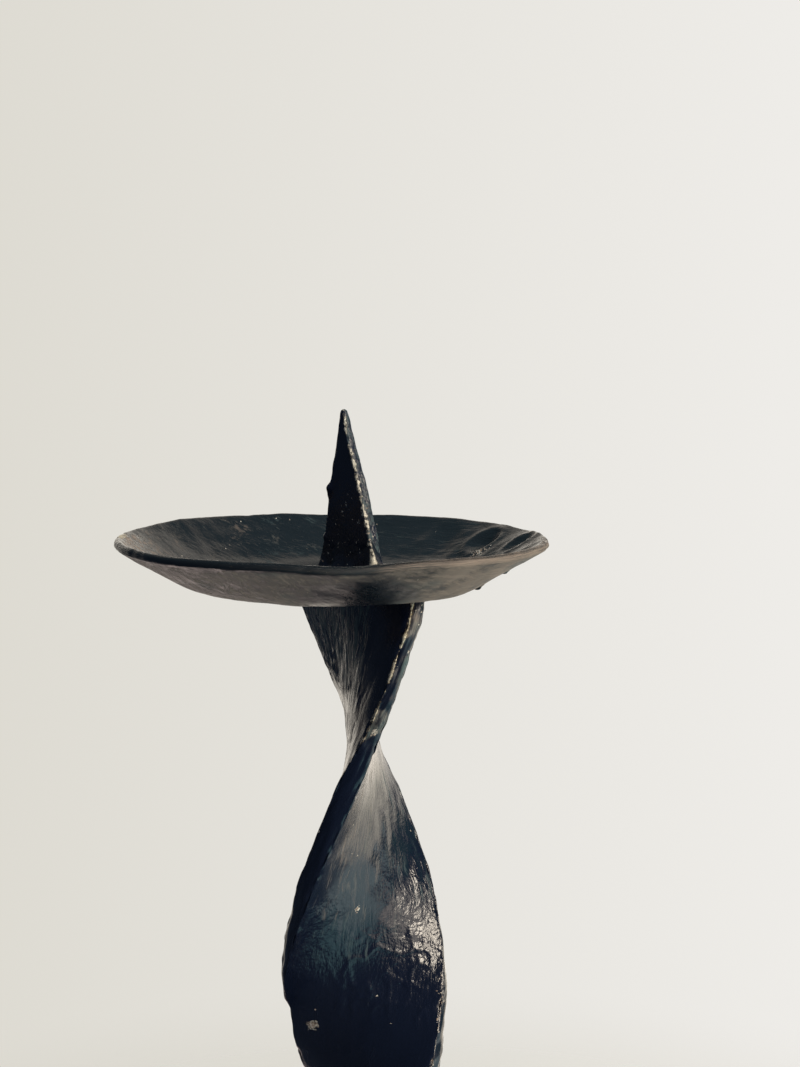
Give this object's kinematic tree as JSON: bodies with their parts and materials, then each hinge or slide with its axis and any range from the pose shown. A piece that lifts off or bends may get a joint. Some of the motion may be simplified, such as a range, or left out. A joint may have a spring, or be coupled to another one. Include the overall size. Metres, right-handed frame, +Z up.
{
  "type": "pricket candle stand",
  "caption": "Forged iron pricket candle stand: a twisted flat bar on a dished foot carries a shallow hammered drip pan with an upright flat spike for a pillar candle.",
  "frame": {"origin": "middle of the foot on the surface that the stand rests on", "axes": "+Z up along the stem, -Y towards the front as pictured, +X to the right"},
  "size_m": [0.1194, 0.1194, 0.2595],
  "materials": {
    "lacquered_plate": "gloss black lacquer over hammered iron plate, browned and streaked in places",
    "lacquered_bar": "gloss black lacquer over forged flat bar, worn to rust along its arrises",
    "lacquered_spike": "gloss black lacquer over a forged blade, one arris worn bright",
    "lacquered_weld": "lumpy weld metal under black lacquer"
  },
  "bodies": {
    "root": {"foot_dish": "lacquered_plate", "stem_bar": "lacquered_bar", "drip_pan": "lacquered_plate", "pricket_spike": "lacquered_spike", "spike_weld": "lacquered_weld", "foot_weld": "lacquered_weld"}
  },
  "joints": []
}
